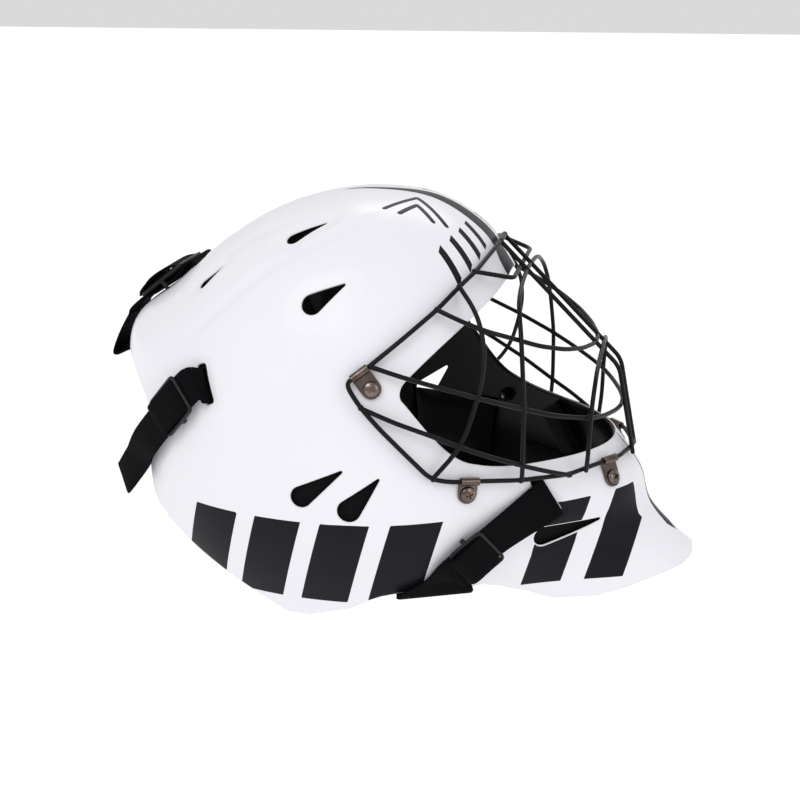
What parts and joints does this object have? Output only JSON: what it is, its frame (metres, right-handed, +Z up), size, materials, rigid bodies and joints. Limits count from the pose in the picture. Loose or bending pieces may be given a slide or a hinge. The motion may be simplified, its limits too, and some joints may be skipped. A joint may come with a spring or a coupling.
{
  "type": "goalkeeper mask with wire face cage",
  "caption": "Full-head goalkeeper mask: moulded shell with a welded wire face cage held by screwed clips, webbing harness with slide adjusters, back plate and chin cup.",
  "frame": {"origin": "middle of the bounding box at floor level, under the crown", "axes": "+X forward out of the face, +Y to the wearer's left, +Z up; rests on the jaw edges and the chin"},
  "size_m": [0.3534, 0.2422, 0.228],
  "materials": {
    "shell": "glossy white moulded shell",
    "wire": "satin black coated steel wire",
    "clip_metal": "dark bronze nickel",
    "screw_metal": "dark nickel",
    "nut_steel": "plain steel",
    "webbing": "black woven webbing",
    "slider_plastic": "black moulded plastic",
    "inner_plastic": "black moulded plastic",
    "foam": "black foam with a cloth face"
  },
  "bodies": {
    "helmet": {"shell": "shell", "cage": "wire", "temple_clip_right": "clip_metal", "temple_clip_left": "clip_metal", "jaw_clip_right": "clip_metal", "jaw_clip_left": "clip_metal", "chin_clip_right": "clip_metal", "chin_clip_left": "clip_metal", "clip_screws": "screw_metal", "clip_nuts": "nut_steel", "top_strap": "webbing", "rear_strap_right": "webbing", "rear_strap_left": "webbing", "chin_strap_right": "webbing", "chin_strap_left": "webbing", "strap_keepers": "nut_steel", "forehead_pad": "foam", "crown_pad": "foam", "rear_pad": "foam", "side_pad_right": "foam", "side_pad_left": "foam", "jaw_pad_right": "foam", "jaw_pad_left": "foam", "chin_pad_right": "foam", "chin_pad_left": "foam"},
    "back_panel": {"back_plate": "inner_plastic", "back_pad": "foam"},
    "chin_rest": {"chin_cup": "inner_plastic", "chin_cup_pad": "foam"},
    "top_buckle": {"top_slider": "slider_plastic"},
    "rear_buckle_right": {"rear_slider_right": "slider_plastic"},
    "rear_buckle_left": {"rear_slider_left": "slider_plastic"},
    "chin_buckle_right": {"chin_slider_right": "slider_plastic"},
    "chin_buckle_left": {"chin_slider_left": "slider_plastic"}
  },
  "joints": [
    {"name": "back_panel_swing", "type": "hinge", "parent": "helmet", "child": "back_panel", "pos_m": [-0.1475, 0, 0.1215], "axis": [0, 1, 0], "range_deg": [-5, 15], "deforming": ["rear_strap_right", "rear_strap_left"]},
    {"name": "chin_rest_lift", "type": "slide", "parent": "helmet", "child": "chin_rest", "axis": [0, 0, 1], "range_m": [-0.004, 0.012], "deforming": ["chin_strap_right", "chin_strap_left"]},
    {"name": "top_buckle_slide", "type": "slide", "parent": "helmet", "child": "top_buckle", "axis": [-0.7848, 0, -0.6198], "range_m": [-0.004, 0.004]},
    {"name": "rear_buckle_right_slide", "type": "slide", "parent": "helmet", "child": "rear_buckle_right", "axis": [-0.6128, 0.3416, -0.7126], "range_m": [-0.004, 0.004]},
    {"name": "rear_buckle_left_slide", "type": "slide", "parent": "helmet", "child": "rear_buckle_left", "axis": [-0.6128, -0.3416, -0.7126], "range_m": [-0.004, 0.004]},
    {"name": "chin_buckle_right_slide", "type": "slide", "parent": "helmet", "child": "chin_buckle_right", "axis": [-0.7205, -0.2721, -0.6378], "range_m": [-0.004, 0.004]},
    {"name": "chin_buckle_left_slide", "type": "slide", "parent": "helmet", "child": "chin_buckle_left", "axis": [-0.7205, 0.2721, -0.6378], "range_m": [-0.004, 0.004]}
  ]
}
